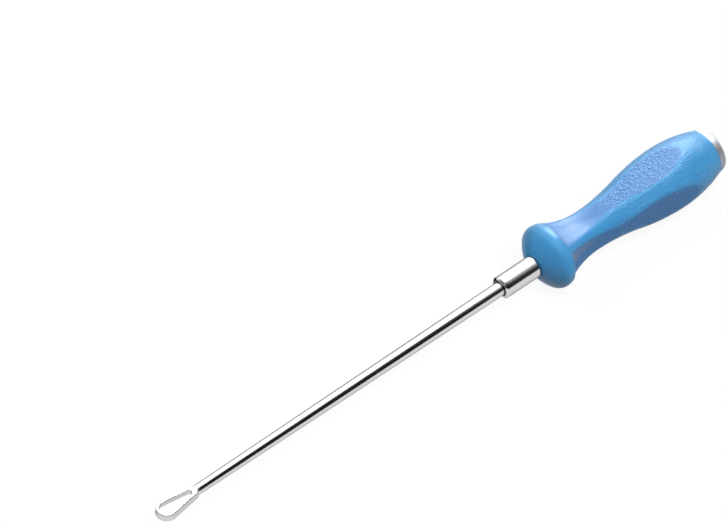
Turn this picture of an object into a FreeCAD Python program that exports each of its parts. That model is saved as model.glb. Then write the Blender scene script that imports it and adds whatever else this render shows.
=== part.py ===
"""Ring curette: teardrop ring blade, tapered shaft, ferrule and silicone handle with a striking plate.

The instrument lies along X. The origin is the centre of the striking plate's bare face at the butt,
+X runs towards the ring blade and +Z is up, square to the plane of the ring. All sizes are in
millimetres, and every length named "..._from_butt" is measured from the striking face.
"""
import FreeCAD, Part
import math
import os
import re
import Sketcher

SIZES = {
    # whole instrument
    "overall_length": (300.0, "striking face to the tip of the ring blade"),
    "press_gap": (0.02, "clearance all round between pieces that are pressed or moulded together"),
    "cut_margin": (1.0, "how far a cut runs on past the piece that it goes through"),
    # ring blade, sizes at its lower rim, which is the wider one
    "ring_tip_radius": (4.7, "outside radius of the blade's round end"),
    "ring_root_radius": (2.65, "outside radius of the blade's end at the shaft"),
    "ring_centres": (13.35, "distance between the centres of those two rounds"),
    "ring_wall": (0.65, "thickness of the blade's wall"),
    "ring_height": (3.2, "height of the blade's wall"),
    "ring_flare": (7.1, "lean of the wall, degrees, wider at the lower rim"),
    "web_length": (1.65, "how far the hole's rear round lies in front of the blade's rear round"),
    "neck_length": (4.5, "round neck from the blade to the joint with the shaft"),
    "neck_slope_length": (3.0, "cone that runs the round neck out into the blade's web"),
    "neck_slope_radius": (1.5, "radius at the buried end of that cone"),
    "stem_length": (8.0, "length of the stem that plugs the blade into the shaft"),
    # shaft
    "neck_radius": (2.2, "radius of the shaft where it meets the blade's neck"),
    "socket_wall": (0.9, "wall of the shaft round the blade's stem"),
    "shaft_radius": (3.0, "radius of the shaft at the ferrule, and of the tang behind it"),
    "quick_taper_length": (60.0, "length behind the neck along which the shaft tapers more quickly"),
    "quick_taper_radius": (2.58, "radius of the shaft where that taper begins"),
    # ferrule
    "ferrule_gap": (0.4, "gap between the silicone's flat front face and the ferrule's shoulder"),
    "ferrule_length": (18.2, "length of the bare part"),
    "ferrule_wall": (1.85, "wall of the bare part round the shaft"),
    "ferrule_chamfer": (0.7, "chamfer of the front edge"),
    "ferrule_round": (0.5, "rounding of the rear edge"),
    "ferrule_mouth": (0.55, "clearance round the shaft in the front recess"),
    "ferrule_mouth_depth": (1.5, "depth of the front recess"),
    "spigot_wall": (1.18, "wall of the part inside the handle"),
    "spigot_length": (17.0, "length of the part inside the handle"),
    # grip, outer form
    "flange_from_butt": (90.2, "widest place of the flange"),
    "flange_radius": (14.3, "radius of the flange"),
    "rim_round": (4.2, "radius of the flange's rim on its front"),
    "rim_turn": (45.0, "angle, degrees, through which that rim turns"),
    "dome_length": (8.0, "length of the silicone in front of the flange's widest place"),
    "dome_round": (25.0, "radius of the dome in front of the flange"),
    "front_land": (1.1, "width of the flat front face round the ferrule's spigot"),
    "cove_share": (0.82, "share of the way from waist to flange that the concave cove takes"),
    "waist_from_butt": (68.8, "narrowest place of the ridges"),
    "waist_radius": (8.95, "radius over the ridges at the waist"),
    "swell_share": (0.5, "share of the way from waist to bulge that is concave"),
    "bulge_from_butt": (24.8, "widest place of the grip"),
    "bulge_radius": (13.95, "radius over the ridges at the bulge"),
    # flutes along the grip, one at each side, above and below
    "flute_setback": (2.3, "distance from the flange's widest place to the flute's front wall"),
    "flute_corner": (2.0, "radius between that wall and the flute's floor"),
    "flute_foot_rise": (4.53, "height of that corner's centre over the flute's deepest place"),
    "flute_lead": (2.0, "how far the deepest place lies in front of the waist"),
    "flute_radius": (7.8, "distance of the floor from the axis at its deepest place"),
    "flute_rise_round": (70.0, "radius of the floor behind the deepest place"),
    "flute_rise": (6.7, "slope, degrees, at which the floor then runs out behind the bulge"),
    # striking plate
    "plate_thickness": (3.9, "bare thickness of the plate"),
    "plate_radius": (10.45, "radius of the plate and of the silicone where they meet"),
    "plate_draft": (0.85, "how much less the radius is at the striking face, before rounding"),
    "plate_round": (1.7, "rounding of the striking face's edge"),
    "plate_spigot_length": (6.0, "length of the plate's spigot in the core"),
    # handle core
    "front_skin": (2.3, "silicone in front of the core"),
    "rear_wall": (1.83, "wall of the core round the plate's spigot"),
    "collar_half_width": (1.6, "half the width of the collar under the flange"),
    "collar_offset": (0.5, "how far the collar's middle lies in front of the flange's widest place"),
    "collar_skin": (3.5, "silicone over the collar"),
    "barrel_wall": (2.18, "wall of the core round the ferrule's spigot"),
    "barrel_margin": (1.0, "length of that barrel behind the ferrule's spigot"),
    "core_slope": (4.0, "length of the core's short slope behind the barrel"),
    "waist_wall": (2.28, "wall of the core round the tang at the waist"),
    "bulge_skin": (4.05, "silicone over the core in the bulge"),
    "key_depth": (0.9, "depth of the two keying grooves"),
    "key_width": (4.0, "width of the two keying grooves"),
    "front_key_land": (5.0, "plain core from the short slope to the keying groove at the waist"),
    "rear_key_setback": (3.0, "distance from the widest place of the bulge to its keying groove"),
    "key_land": (6.0, "plain core from a keying groove's edge to the next slope"),
    # fasteners
    "pin_radius": (1.25, "radius of the cross pins"),
    "pin_inset": (0.1, "how far a pin's ends lie under the core's surface"),
    "tang_pin_land": (7.0, "distance from the keying groove at the waist to the tang's pin"),
    "nut_across_flats": (10.0, "width of the tang nut"),
    "nut_height": (5.0, "height of the tang nut"),
    "nut_play": (0.73, "room round the nut's corners in the core's wide bore"),
    "tang_proud": (1.0, "length of tang that stands past the nut"),
    "washer_play": (0.3, "how much less the washer's radius is than the plate's spigot's"),
    "washer_thickness": (1.6, "thickness of the washer"),
}

# The ring blade
TIP_CENTRE = "(overall_length - ring_tip_radius)"
ROOT_CENTRE = f"({TIP_CENTRE} - ring_centres)"
HOLE_CENTRE = f"({ROOT_CENTRE} + web_length)"
HOLE_TIP_RADIUS = "(ring_tip_radius - ring_wall)"
HOLE_ROOT_RADIUS = ("(ring_root_radius - ring_wall"
                    " + (ring_tip_radius - ring_root_radius) * web_length / ring_centres)")
BLADE_BACK = f"({ROOT_CENTRE} - ring_root_radius)"
SEAM = f"({BLADE_BACK} - neck_length)"
STEM_RADIUS = "(neck_radius - socket_wall - press_gap)"

# The ferrule, seated on the silicone's flat front face
GRIP_FRONT = "(flange_from_butt + dome_length)"
SHOULDER = f"({GRIP_FRONT} + ferrule_gap)"
FERRULE_FRONT = f"({SHOULDER} + ferrule_length)"
SPIGOT_END = f"({SHOULDER} - spigot_length)"
TANG_BORE = "(shaft_radius + press_gap)"
FERRULE_RADIUS = f"({TANG_BORE} + ferrule_wall)"
SPIGOT_RADIUS = f"({TANG_BORE} + spigot_wall)"
SPIGOT_BORE = f"({SPIGOT_RADIUS} + press_gap)"

# The butt: plate, nut and washer
PLATE_SPIGOT_RADIUS = "(nut_across_flats / sqrt(3) + nut_play)"
PLATE_BORE = f"({PLATE_SPIGOT_RADIUS} + press_gap)"
PLATE_PIN_PLACE = "(plate_thickness + plate_spigot_length / 2)"
TANG_END = "(plate_thickness + plate_spigot_length + press_gap)"
NUT_PLACE = f"({TANG_END} + tang_proud)"
WASHER_PLACE = f"({NUT_PLACE} + nut_height + press_gap)"
WASHER_SEAT = f"({WASHER_PLACE} + washer_thickness + press_gap)"

# The grip's largest radius, at the flange or in the bulge
GRIP_RADIUS = "max(flange_radius; bulge_radius)"

# The handle core
CORE_REAR = "(plate_thickness + press_gap)"
CORE_REAR_RADIUS = f"({PLATE_BORE} + rear_wall)"
CORE_FRONT = f"({GRIP_FRONT} - front_skin)"
CORE_BULGE_RADIUS = "(bulge_radius - bulge_skin)"
CORE_WAIST_RADIUS = f"({TANG_BORE} + waist_wall)"
BARREL_RADIUS = f"({SPIGOT_BORE} + barrel_wall)"
BARREL_REAR = f"({SPIGOT_END} - barrel_margin)"
COLLAR = "(flange_from_butt + collar_offset)"
COLLAR_RADIUS = "(flange_radius - collar_skin)"
FRONT_KEY = f"({BARREL_REAR} - core_slope - front_key_land)"
FRONT_KEY_REAR = f"({FRONT_KEY} - key_width)"
REAR_KEY = "(bulge_from_butt - rear_key_setback)"
TANG_PIN_PLACE = f"({FRONT_KEY_REAR} - tang_pin_land)"

# The core's outline from rear to front: distance from the butt, radius, and the way along X in which
# the silicone stands off at a step
CORE_OUTLINE = [
    (CORE_REAR, CORE_REAR_RADIUS, 0),
    (f"({REAR_KEY} - key_width / 2 - key_land)", CORE_BULGE_RADIUS, 0),
    (f"({REAR_KEY} - key_width / 2)", CORE_BULGE_RADIUS, 1),
    (f"({REAR_KEY} - key_width / 2)", f"({CORE_BULGE_RADIUS} - key_depth)", 1),
    (f"({REAR_KEY} + key_width / 2)", f"({CORE_BULGE_RADIUS} - key_depth)", -1),
    (f"({REAR_KEY} + key_width / 2)", CORE_BULGE_RADIUS, -1),
    (f"({REAR_KEY} + key_width / 2 + key_land)", CORE_BULGE_RADIUS, 0),
    (f"({FRONT_KEY_REAR} - key_land)", CORE_WAIST_RADIUS, 0),
    (FRONT_KEY_REAR, CORE_WAIST_RADIUS, 1),
    (FRONT_KEY_REAR, f"({CORE_WAIST_RADIUS} - key_depth)", 1),
    (FRONT_KEY, f"({CORE_WAIST_RADIUS} - key_depth)", -1),
    (FRONT_KEY, CORE_WAIST_RADIUS, -1),
    (f"({BARREL_REAR} - core_slope)", CORE_WAIST_RADIUS, 0),
    (BARREL_REAR, BARREL_RADIUS, 0),
    (f"({COLLAR} - collar_half_width)", BARREL_RADIUS, -1),
    (f"({COLLAR} - collar_half_width)", COLLAR_RADIUS, -1),
    (f"({COLLAR} + collar_half_width)", COLLAR_RADIUS, 1),
    (CORE_FRONT, BARREL_RADIUS, 1),
]

doc = FreeCAD.newDocument("ring_curette")
sheet = doc.addObject("Spreadsheet::Sheet", "Sizes")
for line, (name, (size, meaning)) in enumerate(SIZES.items(), start=1):
    sheet.set(f"A{line}", name)
    sheet.set(f"B{line}", str(size))
    sheet.set(f"C{line}", meaning)
    sheet.setAlias(f"B{line}", name)
doc.recompute()


def bound(text):
    """Return a size rule with the sheet's name before each of its cells."""
    return re.sub(r"[a-z_]+", lambda word: f"Sizes.{word[0]}" if word[0] in SIZES else word[0], text)


def number(text):
    """Return what a size rule comes to now."""
    return float(sheet.evalExpression(bound(text)))


def new_body(label):
    """Return an empty body, whose label is also its node's name."""
    body = doc.addObject("PartDesign::Body", label)
    body.Label = label
    return body


def origin_part(body, role):
    """Return the plane or axis of the body's own origin that has this role."""
    return next(item for item in body.Origin.OriginFeatures if item.Role == role)


def new_sketch(body, name, plane, offset="0"):
    """Return an empty sketch on one of the body's own planes, raised by an offset."""
    sketch = body.newObject("Sketcher::SketchObject", name)
    sketch.AttachmentSupport = [(origin_part(body, plane), "")]
    sketch.MapMode = "FlatFace"
    if offset != "0":
        sketch.setExpression("AttachmentOffset.Base.z", bound(offset))
    return sketch


def pin_point(sketch, shape, point, across, upward):
    """Tie one point of a sketch's line, arc or circle to size rules for its two distances."""
    for kind, rule, axis in (("DistanceX", across, -2), ("DistanceY", upward, -1)):
        if abs(number(rule)) < 1e-9:
            sketch.addConstraint(Sketcher.Constraint("PointOnObject", shape, point, axis))
            continue
        index = sketch.addConstraint(Sketcher.Constraint(kind, -1, 1, shape, point, number(rule)))
        sketch.setExpression(f"Constraints[{index}]", bound(rule))


def arc_between(start, end, radius, side):
    """Return the arc that bulges to the left (side 1) or right (-1) of the chord from start to end.

    The arc itself always runs counter-clockwise, as a sketch keeps it.
    """
    chord = end - start
    half = chord.Length / 2
    left = FreeCAD.Vector(-chord.y, chord.x, 0).normalize() * side
    rise = radius - math.sqrt(radius ** 2 - half ** 2)
    middle = (start + end) / 2 + left * rise
    return Part.Arc(end, middle, start) if side > 0 else Part.Arc(start, middle, end)


def draw_outline(sketch, corners):
    """Draw a closed outline through corners of (across, upward, radius rule or None, side).

    The radius and side belong to the edge that leaves the corner; None makes it straight.
    """
    points = [FreeCAD.Vector(number(corner[0]), number(corner[1]), 0) for corner in corners]
    starts = []
    for index, (_, _, radius, side) in enumerate(corners):
        start, end = points[index], points[(index + 1) % len(points)]
        if radius is None:
            shape = sketch.addGeometry(Part.LineSegment(start, end), False)
            starts.append((shape, 1, 2))
            continue
        arc = arc_between(start, end, number(radius), side)
        shape = sketch.addGeometry(arc, False)
        drawn = sketch.Geometry[shape]
        forward = (drawn.StartPoint - start).Length < (drawn.EndPoint - start).Length
        starts.append((shape, 1, 2) if forward else (shape, 2, 1))
    for index, (shape, _, last) in enumerate(starts):
        following, first, _ = starts[(index + 1) % len(starts)]
        sketch.addConstraint(Sketcher.Constraint("Coincident", shape, last, following, first))
    for (shape, first, _), (across, upward, radius, _) in zip(starts, corners):
        pin_point(sketch, shape, first, across, upward)
        if radius is not None:
            index = sketch.addConstraint(Sketcher.Constraint("Radius", shape, number(radius)))
            sketch.setExpression(f"Constraints[{index}]", bound(radius))


def straight(*corners):
    """Return the corners of an outline whose edges are all straight."""
    return [(across, upward, None, 0) for across, upward in corners]


def draw_circle(sketch, across, upward, radius):
    """Draw a circle whose centre and radius follow size rules."""
    centre = FreeCAD.Vector(number(across), number(upward), 0)
    circle = Part.Circle(centre, FreeCAD.Vector(0, 0, 1), number(radius))
    shape = sketch.addGeometry(circle, False)
    pin_point(sketch, shape, 3, across, upward)
    index = sketch.addConstraint(Sketcher.Constraint("Radius", shape, number(radius)))
    sketch.setExpression(f"Constraints[{index}]", bound(radius))


def turn(body, kind, name, corners):
    """Turn a closed outline, drawn beside the X axis, about that axis as a Revolution or a Groove."""
    sketch = new_sketch(body, f"{name}_outline", "XZ_Plane")
    draw_outline(sketch, corners)
    feature = body.newObject(f"PartDesign::{kind}", name)
    feature.Profile = sketch
    feature.ReferenceAxis = (sketch, ["H_Axis"])
    feature.Angle = 360
    body.Tip = feature
    doc.recompute()
    return feature


def cut_through(body, name, sketch, radius):
    """Cut a sketch's outline both ways right through the body, which has this radius about the axis."""
    before = body.Shape.Volume
    pocket = body.newObject("PartDesign::Pocket", name)
    pocket.Profile = sketch
    pocket.SideType = "Symmetric"
    pocket.setExpression("Length", bound(f"2 * ({radius} + cut_margin)"))
    body.Tip = pocket
    doc.recompute()
    if body.Shape.Volume >= before:
        raise RuntimeError(f"{body.Label}: {name} cuts nothing")
    return pocket


def drill(body, name, places, radius):
    """Drill upright holes for cross pins at distances from the butt through a body of this radius."""
    sketch = new_sketch(body, f"{name}_places", "XY_Plane")
    for place in places:
        draw_circle(sketch, place, "0", "(pin_radius + press_gap)")
    return cut_through(body, name, sketch, radius)


def finish_edge(body, kind, name, place, radius, rule):
    """Round or chamfer the circular edge that lies at a distance from the butt with a radius."""
    centre_x, edge_radius = number(place), number(radius)
    near = 1e-3
    chosen = []
    for index, edge in enumerate(body.Shape.Edges, start=1):
        curve = edge.Curve
        if not isinstance(curve, Part.Circle):
            continue
        if abs(curve.Center.x - centre_x) < near and abs(curve.Radius - edge_radius) < near:
            chosen.append(f"Edge{index}")
    base = body.Tip
    feature = body.newObject(f"PartDesign::{kind}", name)
    feature.Base = (base, chosen)
    feature.setExpression("Radius" if kind == "Fillet" else "Size", bound(rule))
    body.Tip = feature
    doc.recompute()
    return feature


def draw_teardrop(sketch, root_centre, root_radius, tip_radius):
    """Draw the hull of the blade's two rounds: arcs at the root and tip, joined by their tangents."""
    root, tip = number(root_centre), number(TIP_CENTRE)
    small, large = number(root_radius), number(tip_radius)
    lean = math.asin((large - small) / (tip - root))
    touch = FreeCAD.Vector(-math.sin(lean), math.cos(lean), 0)
    mirrored = FreeCAD.Vector(touch.x, -touch.y, 0)
    root_point, tip_point = FreeCAD.Vector(root, 0, 0), FreeCAD.Vector(tip, 0, 0)
    ahead = FreeCAD.Vector(1, 0, 0)
    upper = Part.LineSegment(root_point + touch * small, tip_point + touch * large)
    lower = Part.LineSegment(tip_point + mirrored * large, root_point + mirrored * small)
    tip_arc = Part.Arc(lower.StartPoint, tip_point + ahead * large, upper.EndPoint)
    root_arc = Part.Arc(upper.StartPoint, root_point - ahead * small, lower.EndPoint)
    outline = (upper, tip_arc, lower, root_arc)
    top, front, bottom, back = (sketch.addGeometry(item, False) for item in outline)
    for arc, centre, radius in ((front, TIP_CENTRE, tip_radius), (back, root_centre, root_radius)):
        pin_point(sketch, arc, 3, centre, "0")
        index = sketch.addConstraint(Sketcher.Constraint("Radius", arc, number(radius)))
        sketch.setExpression(f"Constraints[{index}]", bound(radius))
    # every arc is stored counter-clockwise: the front one starts below, the back one above
    for line, line_end, arc, arc_end in ((top, 2, front, 2), (bottom, 1, front, 1),
                                         (bottom, 2, back, 2), (top, 1, back, 1)):
        sketch.addConstraint(Sketcher.Constraint("Tangent", line, line_end, arc, arc_end))


def build_ring_blade():
    """Build the teardrop ring with leaning walls, its round neck and the stem that plugs into the shaft."""
    body = new_body("ring_blade")
    low = "(-ring_height / 2)"
    outside = new_sketch(body, "blade_outline", "XY_Plane", low)
    draw_teardrop(outside, ROOT_CENTRE, "ring_root_radius", "ring_tip_radius")
    wall = body.newObject("PartDesign::Pad", "blade_blank")
    wall.Profile = outside
    wall.setExpression("Length", bound("ring_height"))
    wall.setExpression("TaperAngle", bound("-ring_flare"))
    body.Tip = wall
    doc.recompute()
    turn(body, "Revolution", "neck", straight(
        (f"({SEAM} - stem_length)", "0"),
        (f"({SEAM} - stem_length)", STEM_RADIUS),
        (SEAM, STEM_RADIUS),
        (SEAM, "neck_radius"),
        (BLADE_BACK, "neck_radius"),
        (f"({BLADE_BACK} + neck_slope_length)", "neck_slope_radius"),
        (f"({BLADE_BACK} + neck_slope_length)", "0")))
    before = body.Shape.Volume
    inside = new_sketch(body, "hole_outline", "XY_Plane", low)
    draw_teardrop(inside, HOLE_CENTRE, HOLE_ROOT_RADIUS, HOLE_TIP_RADIUS)
    hole = body.newObject("PartDesign::Pocket", "blade_hole")
    hole.Profile = inside
    hole.Reversed = True
    hole.setExpression("Length", bound("ring_height"))
    hole.setExpression("TaperAngle", bound("-ring_flare"))
    body.Tip = hole
    doc.recompute()
    if body.Shape.Volume >= before:
        raise RuntimeError("the blade's hole cuts nothing")
    return body


def build_shaft():
    """Build the tapered shaft, the parallel tang behind it, the bore for the blade and the pin holes."""
    body = new_body("shaft")
    turn(body, "Revolution", "rod", straight(
        (TANG_END, "0"),
        (TANG_END, "shaft_radius"),
        (FERRULE_FRONT, "shaft_radius"),
        (f"({SEAM} - quick_taper_length)", "quick_taper_radius"),
        (SEAM, "neck_radius"),
        (SEAM, "(neck_radius - socket_wall)"),
        (f"({SEAM} - stem_length - press_gap)", "(neck_radius - socket_wall)"),
        (f"({SEAM} - stem_length - press_gap)", "0")))
    drill(body, "pin_holes", (COLLAR, TANG_PIN_PLACE), "shaft_radius")
    return body


def build_ferrule():
    """Build the steel bush with its front recess, its chamfered and rounded edges and its spigot."""
    body = new_body("ferrule")
    mouth = "(shaft_radius + ferrule_mouth)"
    turn(body, "Revolution", "bush", straight(
        (SPIGOT_END, TANG_BORE),
        (SPIGOT_END, SPIGOT_RADIUS),
        (SHOULDER, SPIGOT_RADIUS),
        (SHOULDER, FERRULE_RADIUS),
        (FERRULE_FRONT, FERRULE_RADIUS),
        (FERRULE_FRONT, mouth),
        (f"({FERRULE_FRONT} - ferrule_mouth_depth)", mouth),
        (f"({FERRULE_FRONT} - ferrule_mouth_depth)", TANG_BORE)))
    finish_edge(body, "Chamfer", "front_edge", FERRULE_FRONT, FERRULE_RADIUS, "ferrule_chamfer")
    finish_edge(body, "Fillet", "rear_edge", SHOULDER, FERRULE_RADIUS, "ferrule_round")
    drill(body, "pin_hole", (COLLAR,), SPIGOT_RADIUS)
    return body


def build_handle_core():
    """Build the rigid core: outline with keying grooves and collar, stepped bore and pin holes."""
    body = new_body("handle_core")
    inner = ((CORE_FRONT, SPIGOT_BORE), (f"({SPIGOT_END} - press_gap)", SPIGOT_BORE),
             (f"({SPIGOT_END} - press_gap)", TANG_BORE), (WASHER_SEAT, TANG_BORE),
             (WASHER_SEAT, PLATE_BORE), (CORE_REAR, PLATE_BORE))
    outer = [(across, upward) for across, upward, _ in CORE_OUTLINE]
    turn(body, "Revolution", "core_blank", straight(*outer, *inner))
    drill(body, "pin_holes", (COLLAR, TANG_PIN_PLACE, PLATE_PIN_PLACE), GRIP_RADIUS)
    return body


def build_silicone_grip():
    """Build the grip: turned outer form, a cavity that fits the core, and four flutes along it."""
    body = new_body("silicone_grip")

    def between(share, end):
        """Return the place that lies this share of the way from the waist to another high or low place."""
        return (f"(waist_from_butt + ({end}_from_butt - waist_from_butt) * {share})",
                f"(waist_radius + ({end}_radius - waist_radius) * {share})")

    def sum_of_rounds(end):
        """Return the sum of the two radii of an S curve that is level at both of its ends."""
        rise = f"({end}_radius - waist_radius)"
        return f"((({end}_from_butt - waist_from_butt)^2 + {rise}^2) / (2 * {rise}))"

    butt_drop = "(bulge_radius - plate_radius)"
    butt_round = f"(((bulge_from_butt - {CORE_REAR})^2 + {butt_drop}^2) / (2 * {butt_drop}))"
    turn(body, "Revolution", "grip_blank", [
        (CORE_REAR, "0", None, 0),
        (CORE_REAR, "plate_radius", butt_round, 1),
        ("bulge_from_butt", "bulge_radius", f"({sum_of_rounds('bulge')} * (1 - swell_share))", 1),
        (*between("swell_share", "bulge"), f"({sum_of_rounds('bulge')} * swell_share)", -1),
        ("waist_from_butt", "waist_radius", f"({sum_of_rounds('flange')} * cove_share)", -1),
        (*between("cove_share", "flange"), f"({sum_of_rounds('flange')} * (1 - cove_share))", 1),
        ("flange_from_butt", "flange_radius", "rim_round", 1),
        ("(flange_from_butt + rim_round * sin(rim_turn))",
         "(flange_radius - rim_round * (1 - cos(rim_turn)))", "dome_round", 1),
        (GRIP_FRONT, f"({SPIGOT_RADIUS} + front_land)", None, 0),
        (GRIP_FRONT, "0", None, 0)])
    cavity = [("0", "0"), ("0", f"({CORE_REAR_RADIUS} + press_gap)")]
    for across, upward, side in CORE_OUTLINE:
        stand_off = {0: across, 1: f"({across} + press_gap)", -1: f"({across} - press_gap)"}[side]
        cavity.append((stand_off, f"({upward} + press_gap)"))
    cavity += [(f"({CORE_FRONT} + press_gap)", SPIGOT_BORE),
               (f"({GRIP_FRONT} + cut_margin)", SPIGOT_BORE),
               (f"({GRIP_FRONT} + cut_margin)", "0")]
    turn(body, "Groove", "core_cavity", straight(*cavity))

    top = f"({GRIP_RADIUS} + cut_margin)"
    wall = "(flange_from_butt - flute_setback)"
    low = "(waist_from_butt + flute_lead)"
    reach = f"({wall} - flute_corner - {low})"
    cove = (f"(({reach}^2 + flute_foot_rise^2 - flute_corner^2)"
            " / (2 * (flute_foot_rise - flute_corner)))")
    turned = f"({cove} / ({cove} - flute_corner))"
    rise_end = (f"({low} - flute_rise_round * sin(flute_rise))",
                "(flute_radius + flute_rise_round * (1 - cos(flute_rise)))")
    run_out = f"({rise_end[0]} - ({top} - {rise_end[1]}) / tan(flute_rise))"
    floor = new_sketch(body, "flute_outline", "XZ_Plane")
    draw_outline(floor, [
        (run_out, top, None, 0),
        (*rise_end, "flute_rise_round", -1),
        (low, "flute_radius", cove, -1),
        (f"({low} + {reach} * {turned})",
         f"(flute_radius + {cove} - {turned} * ({cove} - flute_foot_rise))", "flute_corner", -1),
        (wall, "(flute_radius + flute_foot_rise)", None, 0),
        (wall, top, None, 0)])
    flute = cut_through(body, "flute", floor, GRIP_RADIUS)
    ring = body.newObject("PartDesign::PolarPattern", "flutes")
    ring.Originals = [flute]
    ring.Axis = (origin_part(body, "X_Axis"), [""])
    ring.Angle = 360
    ring.Occurrences = 4
    body.Tip = ring
    doc.recompute()
    return body


def build_striking_plate():
    """Build the steel plate at the butt, with its rounded edge, its spigot and the hole for its pin."""
    body = new_body("striking_plate")
    spigot_end = "(plate_thickness + plate_spigot_length)"
    face_radius = "(plate_radius - plate_draft)"
    turn(body, "Revolution", "plate_blank", straight(
        ("0", "0"),
        ("0", face_radius),
        ("plate_thickness", "plate_radius"),
        ("plate_thickness", PLATE_SPIGOT_RADIUS),
        (spigot_end, PLATE_SPIGOT_RADIUS),
        (spigot_end, "0")))
    finish_edge(body, "Fillet", "face_edge", "0", face_radius, "plate_round")
    drill(body, "pin_hole", (PLATE_PIN_PLACE,), PLATE_SPIGOT_RADIUS)
    return body


def build_pin(label, place, half_length):
    """Build a cross pin that stands upright through the axis at a distance from the butt."""
    body = new_body(label)
    sketch = new_sketch(body, f"{label}_outline", "XY_Plane")
    draw_circle(sketch, "0", "0", "pin_radius")
    pad = body.newObject("PartDesign::Pad", f"{label}_length")
    pad.Profile = sketch
    pad.SideType = "Symmetric"
    pad.setExpression("Length", bound(f"2 * {half_length}"))
    body.Tip = pad
    body.setExpression("Placement.Base.x", bound(place))
    doc.recompute()
    return body


def build_washer():
    """Build the flat washer between the nut and the core."""
    body = new_body("tang_washer")
    sketch = new_sketch(body, "washer_outline", "YZ_Plane")
    draw_circle(sketch, "0", "0", f"({PLATE_SPIGOT_RADIUS} - washer_play)")
    draw_circle(sketch, "0", "0", TANG_BORE)
    pad = body.newObject("PartDesign::Pad", "washer_length")
    pad.Profile = sketch
    pad.setExpression("Length", bound("washer_thickness"))
    body.Tip = pad
    body.setExpression("Placement.Base.x", bound(WASHER_PLACE))
    doc.recompute()
    return body


def build_nut():
    """Build the hexagon nut on the tang's end."""
    body = new_body("tang_nut")
    sketch = new_sketch(body, "nut_outline", "YZ_Plane")
    corner = "(nut_across_flats / sqrt(3))"
    draw_outline(sketch, straight(*[(f"({corner} * cos({60 * step}))", f"({corner} * sin({60 * step}))")
                                    for step in range(6)]))
    draw_circle(sketch, "0", "0", TANG_BORE)
    pad = body.newObject("PartDesign::Pad", "nut_length")
    pad.Profile = sketch
    pad.setExpression("Length", bound("nut_height"))
    body.Tip = pad
    body.setExpression("Placement.Base.x", bound(NUT_PLACE))
    doc.recompute()
    return body


def core_radius_behind(place):
    """Return the size rule for the core's radius at a place on its rear slope."""
    (rear, rear_radius, _), (front, front_radius, _) = CORE_OUTLINE[:2]
    share = f"(({place} - {rear}) / ({front} - {rear}))"
    return f"({rear_radius} + ({front_radius} - {rear_radius}) * {share})"


bodies = [
    build_ring_blade(),
    build_shaft(),
    build_ferrule(),
    build_handle_core(),
    build_silicone_grip(),
    build_striking_plate(),
    build_pin("ferrule_pin", COLLAR, f"({COLLAR_RADIUS} - pin_inset)"),
    build_pin("tang_pin", TANG_PIN_PLACE, f"({CORE_WAIST_RADIUS} - pin_inset)"),
    build_pin("plate_pin", PLATE_PIN_PLACE,
              f"({core_radius_behind(f'({PLATE_PIN_PLACE} - pin_radius)')} - pin_inset)"),
    build_washer(),
    build_nut(),
]

doc.recompute()
for item in doc.Objects:
    if "Invalid" in item.State or "Error" in item.State:
        raise RuntimeError(f"{item.Label} failed: {item.State}")
os.makedirs("parts", exist_ok=True)
for body in bodies:
    solid = body.Shape
    if solid.isNull() or not solid.isValid() or len(solid.Solids) != 1:
        raise RuntimeError(f"{body.Label} isn't one valid solid")
    solid.exportStep(f"parts/{body.Label}.step")
    box = solid.BoundBox
    print(f"{body.Label}: {solid.Volume:.1f} mm3, x {box.XMin:.2f} to {box.XMax:.2f},"
          f" y {box.YMin:.2f} to {box.YMax:.2f}, z {box.ZMin:.2f} to {box.ZMax:.2f}")
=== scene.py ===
"""Looks of a ring curette: teardrop ring blade, tapered steel shaft, ferrule and fluted silicone handle.

Lengths are in metres. X runs along the instrument, from the striking plate's face at the butt towards
the ring blade, and Z is up, square to the plane of the ring. A "place" is a distance along X from the
striking face, and a "radius" is a distance from the X axis.
"""
import logging
import math
from dataclasses import dataclass, field
from enum import Enum

import bmesh
import bpy
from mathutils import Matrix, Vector


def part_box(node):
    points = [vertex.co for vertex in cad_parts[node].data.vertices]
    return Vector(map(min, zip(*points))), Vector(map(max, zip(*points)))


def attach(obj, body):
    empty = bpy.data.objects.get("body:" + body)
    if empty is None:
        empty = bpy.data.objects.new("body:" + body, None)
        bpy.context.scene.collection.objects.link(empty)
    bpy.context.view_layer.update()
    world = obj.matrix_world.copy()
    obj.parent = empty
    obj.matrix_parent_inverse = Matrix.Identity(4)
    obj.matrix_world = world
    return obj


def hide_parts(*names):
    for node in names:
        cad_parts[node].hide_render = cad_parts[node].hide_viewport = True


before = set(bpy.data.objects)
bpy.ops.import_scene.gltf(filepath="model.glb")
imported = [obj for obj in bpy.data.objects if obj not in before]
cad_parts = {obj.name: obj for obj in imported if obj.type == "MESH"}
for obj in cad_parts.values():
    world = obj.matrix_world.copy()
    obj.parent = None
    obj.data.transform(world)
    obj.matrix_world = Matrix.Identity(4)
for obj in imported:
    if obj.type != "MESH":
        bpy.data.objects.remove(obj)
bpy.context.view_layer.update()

LOG = logging.getLogger("ring_curette")
MM = 0.001
ROOT = "root"
PHOTO_WIDTH, PHOTO_HEIGHT = 728, 524
WELD = 0.001 * MM
ROUND_STEP = math.radians(9)
NO_FLUTE = 1.0
WHITE = (1.0, 1.0, 1.0, 1.0)
Colour = tuple[float, float, float]
Point = tuple[float, float]


class Slot(Enum):
    """Material slots for the pieces."""

    POLISHED_STEEL = "polished_steel"
    BLUE_SILICONE = "blue_silicone"
    CORE_ALUMINIUM = "core_aluminium"
    FASTENER_STEEL = "fastener_steel"


class Side(Enum):
    """On which side of its chord an arc bulges, seen with X to the right and the radius upwards."""

    ABOVE = 1
    BELOW = -1


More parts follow.
